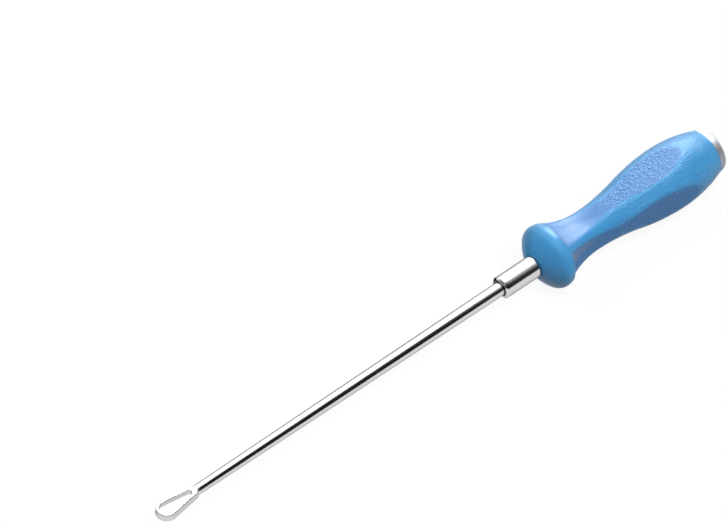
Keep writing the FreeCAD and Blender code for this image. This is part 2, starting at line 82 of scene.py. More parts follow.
class Field:
    """A number in a node tree, which other numbers can be added to, multiplied with and so on."""

    def __init__(self, tree: "Tree", socket: bpy.types.NodeSocket) -> None:
        """Keep the tree and the socket that gives the number."""
        self.tree = tree
        self.socket = socket

    def __add__(self, other: "Field | float") -> "Field":
        """Return the sum."""
        return self.tree.math("ADD", self, other)

    def __radd__(self, other: float) -> "Field":
        """Return the sum with a plain number in front."""
        return self.tree.math("ADD", other, self)

    def __sub__(self, other: "Field | float") -> "Field":
        """Return the difference."""
        return self.tree.math("SUBTRACT", self, other)

    def __rsub__(self, other: float) -> "Field":
        """Return a plain number less this one."""
        return self.tree.math("SUBTRACT", other, self)

    def __mul__(self, other: "Field | float") -> "Field":
        """Return the product."""
        return self.tree.math("MULTIPLY", self, other)

    def __truediv__(self, other: "Field | float") -> "Field":
        """Return the quotient."""
        return self.tree.math("DIVIDE", self, other)

    def __rtruediv__(self, other: float) -> "Field":
        """Return a plain number divided by this one."""
        return self.tree.math("DIVIDE", other, self)

    def __neg__(self) -> "Field":
        """Return the opposite."""
        return self.tree.math("MULTIPLY", self, -1.0)

    def ramp(self, low: float, high: float) -> "Field":
        """Return a smooth step from 0 at low to 1 at high.

        Args:
            low: where the step starts.
            high: where it ends, above or below low.

        Returns:
            The step as a number from 0 to 1.
        """
        node = self.tree.node("ShaderNodeMapRange", {"Value": self, "From Min": low, "From Max": high},
                              interpolation_type="SMOOTHSTEP")
        return Field(self.tree, node.outputs["Result"])


class Tree:
    """A node tree, of Geometry Nodes, a material or the world, with short ways to add to it."""

    def __init__(self, nodes: bpy.types.NodeTree) -> None:
        """Keep the node tree and empty it."""
        self.nodes = nodes
        nodes.nodes.clear()

    def node(self, kind: str, inputs: dict | None = None, **settings: object) -> bpy.types.Node:
        """Add a node.

        Args:
            kind: the node's type.
            inputs: what goes into its sockets, by name or number: a field, a socket or a plain value.
            settings: its properties.

        Returns:
            The new node.
        """
        node = self.nodes.nodes.new(kind)
        for name, value in settings.items():
            setattr(node, name, value)
        for name, value in (inputs or {}).items():
            self.feed(node.inputs[name], value)
        return node

    def feed(self, socket: bpy.types.NodeSocket, value: object) -> None:
        """Link a field or another socket to a socket, or set its plain value."""
        if isinstance(value, Field):
            value = value.socket
        if isinstance(value, bpy.types.NodeSocket):
            self.nodes.links.new(value, socket)
        else:
            socket.default_value = value

    def math(self, operation: str, *values: "Field | float") -> Field:
        """Return the outcome of a Math node for one to three numbers."""
        node = self.node("ShaderNodeMath", dict(enumerate(values)), operation=operation)
        return Field(self, node.outputs[0])

    def clamp(self, value: Field, low: float, high: float) -> Field:
        """Return the number kept between two others."""
        return self.math("MINIMUM", self.math("MAXIMUM", value, low), high)

    def hypot(self, first: Field, second: Field) -> Field:
        """Return the length of the diagonal over two lengths."""
        return self.math("SQRT", first * first + second * second)

    def split(self, vector: bpy.types.NodeSocket) -> tuple[Field, Field, Field]:
        """Return the three numbers of a vector."""
        node = self.node("ShaderNodeSeparateXYZ", {"Vector": vector})
        return tuple(Field(self, socket) for socket in node.outputs)

    def join(self, x: Field | float, y: Field | float, z: Field | float) -> bpy.types.NodeSocket:
        """Return a vector made of three numbers."""
        return self.node("ShaderNodeCombineXYZ", {"X": x, "Y": y, "Z": z}).outputs["Vector"]

    def noise(self, vector: bpy.types.NodeSocket, pitch: float, detail: float = 2.0,
              roughness: float = 0.5) -> Field:
        """Return soft noise from about 0.2 to 0.8.

        Args:
            vector: the place on the piece.
            pitch: the usual distance between two bumps.
            detail: how many finer octaves lie over the coarse one.
            roughness: how strong those are.

        Returns:
            The noise as a field.
        """
        node = self.node("ShaderNodeTexNoise", {"Vector": vector, "Scale": 1.0 / pitch, "Detail": detail,
                                                "Roughness": roughness})
        return Field(self, node.outputs["Fac"])

    def mix_colours(self, share: Field, first: Colour | bpy.types.NodeSocket,
                    second: Colour | bpy.types.NodeSocket) -> bpy.types.NodeSocket:
        """Return a colour that goes from the first to the second as the share goes from 0 to 1."""
        node = self.node("ShaderNodeMix", {0: share}, data_type="RGBA")
        for socket, colour in ((node.inputs[6], first), (node.inputs[7], second)):
            self.feed(socket, (*colour, 1.0) if isinstance(colour, tuple) else colour)
        return node.outputs[2]


class ShapeTree(Tree):
    """Geometry Nodes with named inputs that make one kind of piece."""

    def __init__(self, name: str, numbers: dict[str, str]) -> None:
        """Start the tree.

        Args:
            name: the tree's name.
            numbers: its number inputs, each with its type, "Float" or "Int".
        """
        super().__init__(bpy.data.node_groups.new(name, "GeometryNodeTree"))
        face = self.nodes.interface
        face.new_socket(name="Outline", in_out="INPUT", socket_type="NodeSocketGeometry")
        for title, kind in numbers.items():
            face.new_socket(name=title, in_out="INPUT", socket_type=f"NodeSocket{kind}")
        face.new_socket(name="Finish", in_out="INPUT", socket_type="NodeSocketMaterial")
        face.new_socket(name="Piece", in_out="OUTPUT", socket_type="NodeSocketGeometry")
        self.given = self.node("NodeGroupInput").outputs

    def number(self, title: str) -> Field:
        """Return one of the tree's number inputs."""
        return Field(self, self.given[title])

    def attribute(self, title: str) -> bpy.types.NodeSocket:
        """Return a number that the outline's points carry under this name."""
        node = self.node("GeometryNodeInputNamedAttribute", {"Name": title}, data_type="FLOAT")
        return node.outputs["Attribute"]

    def store(self, shape: bpy.types.NodeSocket, title: str, value: Field) -> bpy.types.NodeSocket:
        """Return the shape with a number kept on its points under this name."""
        node = self.node("GeometryNodeStoreNamedAttribute",
                         {"Geometry": shape, "Name": title, "Value": value},
                         data_type="FLOAT", domain="POINT")
        return node.outputs["Geometry"]

    def finish(self, shape: bpy.types.NodeSocket) -> None:
        """End the tree: smooth faces, real instances and the piece's finish."""
        smooth = self.node("GeometryNodeSetShadeSmooth", {"Geometry": shape, "Shade Smooth": True})
        real = self.node("GeometryNodeRealizeInstances", {"Geometry": smooth.outputs[0]})
        dressed = self.node("GeometryNodeSetMaterial",
                            {"Geometry": real.outputs[0], "Material": self.given["Finish"]})
        self.node("NodeGroupOutput", {"Piece": dressed.outputs[0]})

    def make(self, name: str, outline: bpy.types.Mesh, numbers: dict[str, float],
             finish: bpy.types.Material, crease: float = math.radians(30)) -> bpy.types.Object:
        """Run the tree and keep its result as a plain mesh.

        Args:
            name: the new piece's name.
            outline: the mesh that the tree starts from. It is used up.
            numbers: a value for each of the number inputs.
            finish: the piece's material.
            crease: edges that turn by more than this angle stay sharp.

        Returns:
            The piece, linked to the scene, without modifiers.
        """
        piece = bpy.data.objects.new(name, outline)
        bpy.context.scene.collection.objects.link(piece)
        modifier = piece.modifiers.new("shape", "NODES")
        modifier.node_group = self.nodes
        inputs = {item.name: item.identifier for item in self.nodes.interface.items_tree
                  if item.in_out == "INPUT"}
        for title, value in {**numbers, "Finish": finish}.items():
            modifier[inputs[title]] = value
        depsgraph = bpy.context.evaluated_depsgraph_get()
        mesh = bpy.data.meshes.new_from_object(piece.evaluated_get(depsgraph),
                                               preserve_all_data_layers=True, depsgraph=depsgraph)
        piece.modifiers.clear()
        piece.data = mesh
        bpy.data.meshes.remove(outline)
        mesh.name = name
        point_outwards(mesh)
        mesh.set_sharp_from_angle(angle=crease)
        return piece


def point_outwards(mesh: bpy.types.Mesh) -> None:
    """Turn a closed mesh's faces so that they all point out of it."""
    work = bmesh.new()
    work.from_mesh(mesh)
    bmesh.ops.recalc_face_normals(work, faces=work.faces)
    if work.calc_volume(signed=True) < 0:
        bmesh.ops.reverse_faces(work, faces=work.faces)
    work.to_mesh(mesh)
    work.free()


def outline_mesh(name: str, rows: list[tuple[float, float, float]],
                 numbers: dict[str, list[float]] | None = None) -> bpy.types.Mesh:
    """Return a mesh whose points hold the rows of an outline.

    Args:
        name: the mesh's name.
        rows: the place, radius and flute floor of each row.
        numbers: further numbers for each row, kept as point attributes.

    Returns:
        The mesh, which has points only.
    """
    mesh = bpy.data.meshes.new(name)
    mesh.from_pydata(rows, [], [])
    for title, values in (numbers or {}).items():
        mesh.attributes.new(title, "FLOAT", "POINT").data.foreach_set("value", values)
    return mesh


def arc(start: Point, end: Point, radius: float, side: Side, pitch: float) -> list[Point]:
    """Return points along an arc, without its start.

    Args:
        start: place and radius where the arc starts.
        end: place and radius where it ends.
        radius: the arc's own radius.
        side: the side of the chord on which it bulges.
        pitch: the distance between two points, at most.

    Returns:
        The points, the end among them.
    """
    chord = Vector(end) - Vector(start)
    half = chord.length / 2
    left = Vector((-chord.y, chord.x)).normalized() * side.value
    if chord.x < 0:
        left = -left
    depth = math.sqrt(max(radius ** 2 - half ** 2, 0.0))
    centre = (Vector(start) + Vector(end)) / 2 - left * depth
    turn = 2 * math.asin(min(1.0, half / radius))
    first = Vector(start) - centre
    steps = max(2, math.ceil(turn * radius / pitch))
    way = -1 if first.cross(Vector(end) - centre) < 0 else 1
    points = []
    for step in range(1, steps + 1):
        angle = way * turn * step / steps
        points.append((centre.x + first.x * math.cos(angle) - first.y * math.sin(angle),
                       centre.y + first.x * math.sin(angle) + first.y * math.cos(angle)))
    return points


def straight(start: Point, end: Point, pitch: float) -> list[Point]:
    """Return points along a straight run, without its start."""
    steps = max(1, math.ceil((Vector(end) - Vector(start)).length / pitch))
    return [tuple(Vector(start).lerp(Vector(end), step / steps)) for step in range(1, steps + 1)]


def rounded(corners: list[tuple[float, float, float]], pitch: float, closed: bool) -> list[Point]:
    """Return an outline whose corners are rounded.

    Args:
        corners: place, radius and rounding of each corner.
        pitch: the distance between two points on a straight run, at most.
        closed: whether the outline comes back to its first corner.

    Returns:
        The outline's points.
    """
    count = len(corners)
    points: list[Point] = []
    for index, (place, radius, rounding) in enumerate(corners):
        corner = Vector((place, radius))
        ends = not closed and index in (0, count - 1)
        if rounding == 0 or ends:
            runs = [tuple(corner)]
        else:
            before = (Vector(corners[index - 1][:2]) - corner).normalized()
            after = (Vector(corners[(index + 1) % count][:2]) - corner).normalized()
            opening = before.angle(after)
            reach = rounding / math.tan(opening / 2)
            centre = corner + (before + after).normalized() * rounding / math.sin(opening / 2)
            first, last = corner + before * reach - centre, corner + after * reach - centre
            start = math.atan2(first.y, first.x)
            turn = math.remainder(math.atan2(last.y, last.x) - start, math.tau)
            steps = max(3, math.ceil(abs(turn) / ROUND_STEP))
            angles = [start + turn * step / steps for step in range(steps + 1)]
            runs = [(centre.x + rounding * math.cos(angle), centre.y + rounding * math.sin(angle))
                    for angle in angles]
        if points:
            points += straight(points[-1], runs[0], pitch)[:-1]
        points += runs
    if closed:
        points += straight(points[-1], points[0], pitch)
    return points


def dress(piece: bpy.types.Object, slot: Slot, *nodes: str) -> None:
    """Let a piece ride on the instrument's body in place of its CAD nodes, and report it.

    Args:
        piece: the finished piece.
        slot: the material slot; not used.
        nodes: the CAD nodes that it stands for.
    """
    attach(piece, ROOT)
    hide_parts(*nodes)
    LOG.info("%s: %d faces in place of %s", piece.name, len(piece.data.polygons), ", ".join(nodes))


@dataclass(frozen=True)
class SteelFinish:
    """Bare metal, from mirror bright to satin, with faint lines from turning or brushing, and painted
    shade along a rounded edge where edge_shade asks for it.
    """

    name: str
    colour: Colour = (0.665, 0.66, 0.65)
    edge_tint: Colour = (0.30, 0.30, 0.32)
    roughness: float = 0.16
    satin_roughness: float = 0.34
    satin_from: float = 1.0
    satin_to: float = 1.01
    line_pitch: float = 0.16 * MM
    line_length: float = 9.0 * MM
    line_depth: float = 0.012
    line_share: float = 0.6
    cloud_pitch: float = 5 * MM
    cloud_depth: float = 0.06
    cloud_tone: float = 0.5
    speckle_pitch: float = 0.25 * MM
    speckle_depth: float = 0.12
    speckle_tone: float = 0.8
    darkest: float = 0.93
    lightest: float = 1.05
    # Painted shade along a rounded edge: how dark its colour gets, how strongly, and between which
    # heights.
    edge_shade_colour_share: float = 0.25
    edge_shade: float = 0.0
    edge_shade_band: tuple[float, float, float, float] = (1.20 * MM, 1.32 * MM, 1.48 * MM, 1.58 * MM)

    def material(self) -> bpy.types.Material:
        """Return the material, made of nodes on Object coordinates."""
        material = bpy.data.materials.new(self.name)
        material.use_nodes = True
        tree = Tree(material.node_tree)
        place = tree.node("ShaderNodeTexCoord").outputs["Object"]
        x, y, z = tree.split(place)
        satin = x.ramp(self.satin_from, self.satin_to)
        lines = tree.noise(tree.join(x * (1 / self.line_pitch), y * (1 / self.line_length),
                                     z * (1 / self.line_length)), 1.0, 3.0)
        clouds = tree.noise(place, self.cloud_pitch, 3.0, 0.6) - 0.5
        speckle = tree.noise(place, self.speckle_pitch, 2.0, 0.7)
        grit = satin * (speckle - 0.5)
        roughness = (self.roughness + satin * (self.satin_roughness - self.roughness)
                     + clouds * self.cloud_depth + grit * self.speckle_depth)
        tone = tree.clamp(0.5 + clouds * self.cloud_tone + grit * self.speckle_tone, 0.0, 1.0)
        darker = tuple(channel * self.darkest for channel in self.colour)
        lighter = tuple(min(1.0, channel * self.lightest) for channel in self.colour)
        # Painted shade: a dark line on the blade's rounded top edge, set by height on the satin end.
        rise_from, rise_to, fall_from, fall_to = self.edge_shade_band
        edge_shade_line = z.ramp(rise_from, rise_to) * (1.0 - z.ramp(fall_from, fall_to)) * satin * self.edge_shade
        metal = tree.mix_colours(tone, darker, lighter)
        edge_shade_colour = tuple(channel * self.edge_shade_colour_share for channel in self.colour)
        height = lines * (1.0 - satin) * self.line_share + satin * speckle
        bump = tree.node("ShaderNodeBump", {"Height": height, "Strength": self.line_depth,
                                            "Distance": 0.05 * MM})
        shader = tree.node("ShaderNodeBsdfPrincipled", {
            "Base Color": tree.mix_colours(edge_shade_line, metal, edge_shade_colour),
            "Metallic": 1.0,
            "Roughness": roughness,
            "Specular Tint": (*self.edge_tint, 1.0),
            "Normal": bump.outputs["Normal"]})
        tree.node("ShaderNodeOutputMaterial", {"Surface": shader.outputs["BSDF"]})
        return material


@dataclass(frozen=True)
class SiliconeFinish:
    """Moulded satin silicone, with painted shade darkening the flutes, finely grained where the mesh says
    so.
    """

    name: str
    colour: Colour = (0.038, 0.255, 0.560)
    pale: Colour = (0.085, 0.350, 0.620)
    # The darker colour that the flutes get as they sink: painted shade.
    flute_shade: Colour = (0.026, 0.150, 0.400)
    flute_shade_share: float = 0.85
    sheen: Colour = (1.0, 0.90, 0.70)
    roughness: float = 0.40
    grain_pitch: float = 0.7 * MM
    grain_height: float = 0.34 * MM
    grain_contrast: float = 2.4
    grain_tone: float = 1.6
    grain_gloss: float = 0.25
    bump_strength: float = 0.9
    mist_pitch: float = 0.12 * MM
    mist_height: float = 0.03
    cloud_pitch: float = 14 * MM
    cloud_tone: float = 0.6
    cloud_depth: float = 0.08
    subsurface: float = 0.12
    subsurface_colours: Colour = (0.5, 0.9, 1.0)
    subsurface_reach: float = 1.2 * MM

    def material(self) -> bpy.types.Material:
        """Return the material, made of nodes on Object coordinates and two attributes."""
        material = bpy.data.materials.new(self.name)
        material.use_nodes = True
        tree = Tree(material.node_tree)
        place = tree.node("ShaderNodeTexCoord").outputs["Object"]
        grained = tree.node("ShaderNodeAttribute", attribute_name="grain").outputs["Fac"]
        grain = Field(tree, grained)
        # How deep the flute sinks here, the mask of the painted shade in the flutes.
        hollow = Field(tree, tree.node("ShaderNodeAttribute", attribute_name="flute").outputs["Fac"])
        coarse = tree.noise(place, self.grain_pitch * 1.7, 2.0, 0.6)
        fine = tree.noise(place, self.grain_pitch, 2.0, 0.6)
        mist = tree.noise(place, self.mist_pitch, 1.0)
        clouds = tree.noise(place, self.cloud_pitch, 2.0) - 0.5
        height = grain * (coarse * 0.6 + fine * 0.4) + mist * self.mist_height
        bump = tree.node("ShaderNodeBump", {"Height": height, "Strength": self.bump_strength,
                                            "Distance": self.grain_height})
        tone = tree.clamp(clouds * self.cloud_tone + grain * (fine - 0.42) * self.grain_tone + 0.25,
                          0.0, 1.0)
        plain = tree.mix_colours(tone, self.colour, self.pale)
        pebbles = grain * (fine - 0.5)
        # Painted shade in the flutes, mixed with the grain's random dark and light speckles.
        depth = tree.clamp(hollow * self.flute_shade_share - pebbles * self.grain_contrast, 0.0, 1.0)
        roughness = self.roughness + pebbles * self.grain_gloss + clouds * self.cloud_depth
        shader = tree.node("ShaderNodeBsdfPrincipled", {
            "Base Color": tree.mix_colours(depth, plain, self.flute_shade),
            "Roughness": roughness,
            "IOR": 1.42,
            "Specular Tint": (*self.sheen, 1.0),
            "Subsurface Weight": self.subsurface,
            "Subsurface Radius": self.subsurface_colours,
            "Subsurface Scale": self.subsurface_reach,
            "Normal": bump.outputs["Normal"]})
        tree.node("ShaderNodeOutputMaterial", {"Surface": shader.outputs["BSDF"]})
        return material


class TurnedTree(ShapeTree):
    """Turns an outline about the X axis."""

    def __init__(self) -> None:
        """Build the tree."""
        super().__init__("turned_form", {"Steps": "Int", "Weld": "Float"})
        grid, row, angle = self.turned_grid()
        place, radius, _ = self.split(self.sampled(row, "FLOAT_VECTOR", self.place()))
        self.finish(self.wrapped(grid, place, radius, angle))

    def place(self) -> bpy.types.NodeSocket:
        """Return the place field of whatever mesh it is asked of."""
        return self.node("GeometryNodeInputPosition").outputs[0]

    def turned_grid(self) -> tuple[bpy.types.NodeSocket, Field, Field]:
        """Return a grid with a line of points for each row, the number of the row, and the angle."""
        size = self.node("GeometryNodeAttributeDomainSize", {"Geometry": self.given["Outline"]})
        around = self.number("Steps") + 1
        grid = self.node("GeometryNodeMeshGrid", {"Vertices X": size.outputs["Point Count"],
                                                  "Vertices Y": around})
        index = Field(self, self.node("GeometryNodeInputIndex").outputs[0])
        row = self.math("FLOOR", (index + 0.5) / around)
        angle = (index - row * around) * math.tau / self.number("Steps")
        return grid.outputs["Mesh"], row, angle

    def sampled(self, row: Field, kind: str, value: bpy.types.NodeSocket) -> bpy.types.NodeSocket:
        """Return what the outline holds at a row."""
        node = self.node("GeometryNodeSampleIndex", {"Geometry": self.given["Outline"], "Index": row},
                         data_type=kind, domain="POINT")
        self.feed(node.inputs["Value"], value)
        return node.outputs["Value"]

    def wrapped(self, grid: bpy.types.NodeSocket, place: Field, radius: Field,
                angle: Field) -> bpy.types.NodeSocket:
        """Return the grid bent round the axis, with its seam and its poles closed."""
        around = self.join(place, radius * self.math("COSINE", angle), radius * self.math("SINE", angle))
        bent = self.node("GeometryNodeSetPosition", {"Geometry": grid, "Position": around})
        welded = self.node("GeometryNodeMergeByDistance",
                           {"Geometry": bent.outputs[0], "Distance": self.number("Weld")})
        return welded.outputs[0]


class GripTree(TurnedTree):
    """Turns the grip's outline, sinks the flutes into it and raises the grain."""

    def __init__(self) -> None:
        """Build the tree."""
        ShapeTree.__init__(self, "fluted_grip", {
            "Steps": "Int", "Weld": "Float", "Flutes": "Int", "Smooth Ridge": "Float",
            "Ridge Grain": "Float", "Grain Height": "Float", "Grain Pitch": "Float"})
        grid, row, angle = self.turned_grid()
        place, ridge, floor = self.split(self.sampled(row, "FLOAT_VECTOR", self.place()))
        scoop, blend, grained = (
            Field(self, self.sampled(row, "FLOAT", self.attribute(title)))
            for title in ("scoop", "blend", "grained"))
        share = math.tau / self.number("Flutes")
        turned = self.math("FLOORED_MODULO", angle + share / 2, share) - share / 2
        hollow = self.math("COSINE", turned * self.number("Flutes") / 2)
        flute = (floor - scoop * hollow * hollow) / self.math("COSINE", turned)
        carved = self.math("SMOOTH_MIN", ridge, flute, blend)
        off_ridge = share / 2 - self.math("ABSOLUTE", turned)
        edge = self.node("ShaderNodeMapRange", {
            "Value": off_ridge, "From Min": self.number("Smooth Ridge"),
            "From Max": self.number("Smooth Ridge") * 1.6}, interpolation_type="SMOOTHSTEP")
        least = self.number("Ridge Grain")
        spared = Field(self, edge.outputs["Result"]) * (1.0 - least) + least
        kept = self.store(grid, "grain", grained * spared)
        # The flute attribute says how deep each flute sinks; the silicone darkens by it as painted shade.
        kept = self.store(kept, "flute", (ridge - carved).ramp(0.1 * MM, 0.45 * MM))
        self.finish(self.grained(self.wrapped(kept, place, carved, angle)))

    def grained(self, shape: bpy.types.NodeSocket) -> bpy.types.NodeSocket:
        """Return the shape with fine pebbles on it, as high as its grain attribute says."""
        place = self.place()
        pebbles = self.noise(place, 1.0, 2.0, 0.6)
        self.feed(pebbles.socket.node.inputs["Scale"], 1.0 / self.number("Grain Pitch"))
        grain = Field(self, self.attribute("grain"))
        rise = (pebbles - 0.5) * 2.0 * grain * self.number("Grain Height")
        outwards = self.node("GeometryNodeInputNormal").outputs["Normal"]
        way = self.node("ShaderNodeVectorMath", {0: outwards}, operation="SCALE")
        self.feed(way.inputs["Scale"], rise)
        raised = self.node("GeometryNodeSetPosition", {"Geometry": shape, "Offset": way.outputs[0]})
        return raised.outputs[0]


@dataclass
class Grip:
    """The silicone grip: flange, cove, waist, four flutes and the bulge that ends at the plate."""

    rear: float
    front: float
    flange_radius: float
    front_radius: float = 5.3 * MM
    bore: float = 4.22 * MM
    plate_radius: float = 10.45 * MM
    bulge_place: float = 24.8 * MM
    bulge_radius: float = 13.95 * MM
    waist_place: float = 68.8 * MM
    waist_radius: float = 8.95 * MM
    swell_share: float = 0.5
    cove_share: float = 0.82
    rim_round: float = 4.2 * MM
    rim_turn: float = math.radians(45)
    dome_length: float = 8.0 * MM
    dome_round: float = 25.0 * MM
    flutes: int = 4
    flute_setback: float = 2.3 * MM
    flute_corner: float = 2.0 * MM
    flute_foot_rise: float = 4.53 * MM
    flute_lead: float = 2.0 * MM
    flute_floor: float = 7.8 * MM
    flute_rise_round: float = 70.0 * MM
    flute_rise: float = math.radians(6.7)
    flute_wall_slope: float = 14.0
    scoop: float = 0.7 * MM
    scoop_setback: float = 6.0 * MM
    scoop_fade: float = 16.0 * MM
    blend: float = 1.1 * MM
    blend_growth: float = 0.65 * MM
    steps: int = 280
    pitch: float = 0.36 * MM
    fine_pitch: float = 0.10 * MM
    fine_reach: float = 1.2 * MM
    smooth_ridge: float = math.radians(6)
    ridge_grain: float = 0.3
    grain_front: float = 66.0 * MM
    grain_front_fade: float = 8.0 * MM
    grain_rear: float = 6.0 * MM
    grain_rear_fade: float = 3.0 * MM
    grain_height: float = 0.24 * MM
    grain_pitch: float = 0.9 * MM
    core: list[Point] = field(default_factory=list)

    @property
    def flange_place(self) -> float:
        """Return the place of the flange's widest ring."""
        return self.front - self.dome_length

    def s_curve(self, place: float, radius: float, share: float, from_waist: bool) -> list[Point]:
        """Return the S curve between the waist and another high place.

        Args:
            place: where the high place lies.
            radius: its radius.
            share: the share of the way that is concave, on the waist's side.
            from_waist: whether the points start at the waist or end there.

        Returns:
            The points, without the first.
        """
        rise, run = radius - self.waist_radius, place - self.waist_place
        rounds = (run ** 2 + rise ** 2) / (2 * rise)
        waist, high = (self.waist_place, self.waist_radius), (place, radius)
        middle = (self.waist_place + run * share, self.waist_radius + rise * share)
        hollow, swell = rounds * share, rounds * (1 - share)
        if from_waist:
            return (arc(waist, middle, hollow, Side.BELOW, self.pitch)
                    + arc(middle, high, swell, Side.ABOVE, self.pitch))
        return (arc(high, middle, swell, Side.ABOVE, self.pitch)
                + arc(middle, waist, hollow, Side.BELOW, self.pitch))

    def ridge_line(self) -> list[Point]:
        """Return the outline over the ridges, from the plate to the flat front face."""
        start = (self.rear, self.plate_radius)
        bulge = (self.bulge_place, self.bulge_radius)
        drop, run = self.bulge_radius - self.plate_radius, self.bulge_place - self.rear
        points = [start] + arc(start, bulge, (run ** 2 + drop ** 2) / (2 * drop), Side.ABOVE, self.pitch)
        points += self.s_curve(*bulge, self.swell_share, from_waist=False)
        points += self.s_curve(self.flange_place, self.flange_radius, self.cove_share, from_waist=True)
        rim_end = (self.flange_place + self.rim_round * math.sin(self.rim_turn),
                   self.flange_radius - self.rim_round * (1 - math.cos(self.rim_turn)))
        points += arc(points[-1], rim_end, self.rim_round, Side.ABOVE, self.pitch)
        points += arc(rim_end, (self.front, self.front_radius), self.dome_round, Side.ABOVE, self.pitch)
        return points

    def floor(self, place: float) -> float:
        """Return the height of a flute's flat floor over the axis at a place."""
        wall = self.flange_place - self.flute_setback
        low = self.waist_place + self.flute_lead
        reach = wall - self.flute_corner - low
        rise, corner = self.flute_foot_rise, self.flute_corner
        cove = (reach ** 2 + rise ** 2 - corner ** 2) / (2 * (rise - corner))
        turned = cove / (cove - corner)
        rise_end = low - self.flute_rise_round * math.sin(self.flute_rise)
        if place < rise_end:
            height = self.flute_rise_round * (1 - math.cos(self.flute_rise))
            return self.flute_floor + height + (rise_end - place) * math.tan(self.flute_rise)
        if place < low:
            round_off = math.sqrt(self.flute_rise_round ** 2 - (low - place) ** 2)
            return self.flute_floor + self.flute_rise_round - round_off
        if place < low + reach * turned:
            return self.flute_floor + cove - math.sqrt(cove ** 2 - (place - low) ** 2)
        if place < wall:
            return self.flute_floor + rise - math.sqrt(corner ** 2 - (place - wall + corner) ** 2)
        return self.flute_floor + rise + (place - wall) * self.flute_wall_slope

    def fine_rows(self, points: list[Point]) -> list[Point]:
        """Return the outline with closer rows where the flutes' front wall rises."""
        wall = self.flange_place - self.flute_setback
        dense: list[Point] = [points[0]]
        for point in points[1:]:
            near = abs(point[0] - wall) < self.fine_reach and point[1] > self.waist_radius
            dense += straight(dense[-1], point, self.fine_pitch if near else math.inf)
        return dense

    def build(self, tree: GripTree, finish: bpy.types.Material) -> bpy.types.Object:
        """Return the grip as one closed mesh, with the core's cavity inside.

        Args:
            tree: the Geometry Nodes that turn and carve it.
            finish: the silicone's material.

        Returns:
            The finished piece.
        """
        outside = self.fine_rows(self.ridge_line())
        wall = self.flange_place - self.flute_setback
        rows, scoops, blends, grained = [], [], [], []
        for place, radius in outside:
            start = self.waist_place - self.scoop_setback
            share = min(1.0, max(0.0, (place - start) / self.scoop_fade))
            fade = share * share * (3 - 2 * share)
            rows.append((place, radius, self.floor(place)))
            scoops.append(self.scoop * fade if place < wall else 0.0)
            blends.append(self.blend + self.blend_growth * fade)
            grained.append(self.grain_share(place))
        inside = [(self.front, self.bore)] + self.core + [(self.rear, self.plate_radius)]
        for point in inside:
            rows.append((*point, NO_FLUTE))
            scoops.append(0.0)
            blends.append(0.0)
            grained.append(0.0)
        mesh = outline_mesh("grip_outline", rows,
                            {"scoop": scoops, "blend": blends, "grained": grained})
        numbers = {"Steps": self.steps, "Weld": WELD, "Flutes": self.flutes,
                   "Smooth Ridge": self.smooth_ridge, "Ridge Grain": self.ridge_grain,
                   "Grain Height": self.grain_height, "Grain Pitch": self.grain_pitch}
        return tree.make("silicone_grip_skin", mesh, numbers, finish, math.radians(60))

    def grain_share(self, place: float) -> float:
        """Return how strongly the silicone is grained at a place, from 0 to 1."""
        front = min(1.0, max(0.0, (self.grain_front - place) / self.grain_front_fade))
        rear = min(1.0, max(0.0, (place - self.grain_rear) / self.grain_rear_fade))
        return front * rear


@dataclass
class HandleCore:
    """The core inside the grip, whose outline the grip's cavity follows."""

    front_setback: float = 2.28 * MM
    rear: float = 3.92 * MM
    rear_radius: float = 8.37 * MM
    bulge_radius: float = 9.92 * MM
    waist_radius: float = 5.32 * MM
    barrel_radius: float = 6.42 * MM
    collar_radius: float = 10.82 * MM
    collar_place: float = 90.7 * MM
    collar_width: float = 3.24 * MM
    barrel_rear: float = 80.6 * MM
    slope_length: float = 4.0 * MM
    front_key: float = 69.6 * MM
    rear_key: float = 21.8 * MM
    key_width: float = 3.96 * MM
    key_depth: float = 0.9 * MM
    key_land: float = 6.0 * MM

    def groove(self, place: float, radius: float) -> list[Point]:
        """Return the silicone rib that fills a keying groove, from front to rear."""
        front, rear = place + self.key_width / 2, place - self.key_width / 2
        return [(front, radius), (front, radius - self.key_depth), (rear, radius - self.key_depth),
                (rear, radius)]

    def cavity(self, grip_front: float) -> list[Point]:
        """Return the cavity's outline from front to rear.

        Args:
            grip_front: the place of the grip's flat front face.

        Returns:
            The outline's corners.
        """
        front = grip_front - self.front_setback
        collar_front = self.collar_place + self.collar_width / 2
        collar_rear = self.collar_place - self.collar_width / 2
        reach = self.key_width / 2 + self.key_land
        return [(front, self.barrel_radius), (collar_front, self.barrel_radius),
                (collar_front, self.collar_radius), (collar_rear, self.collar_radius),
                (collar_rear, self.barrel_radius), (self.barrel_rear, self.barrel_radius),
                (self.barrel_rear - self.slope_length, self.waist_radius),
                *self.groove(self.front_key, self.waist_radius),
                (self.front_key - reach, self.waist_radius),
                (self.rear_key + reach, self.bulge_radius),
                *self.groove(self.rear_key, self.bulge_radius),
                (self.rear_key - reach, self.bulge_radius), (self.rear, self.rear_radius)]


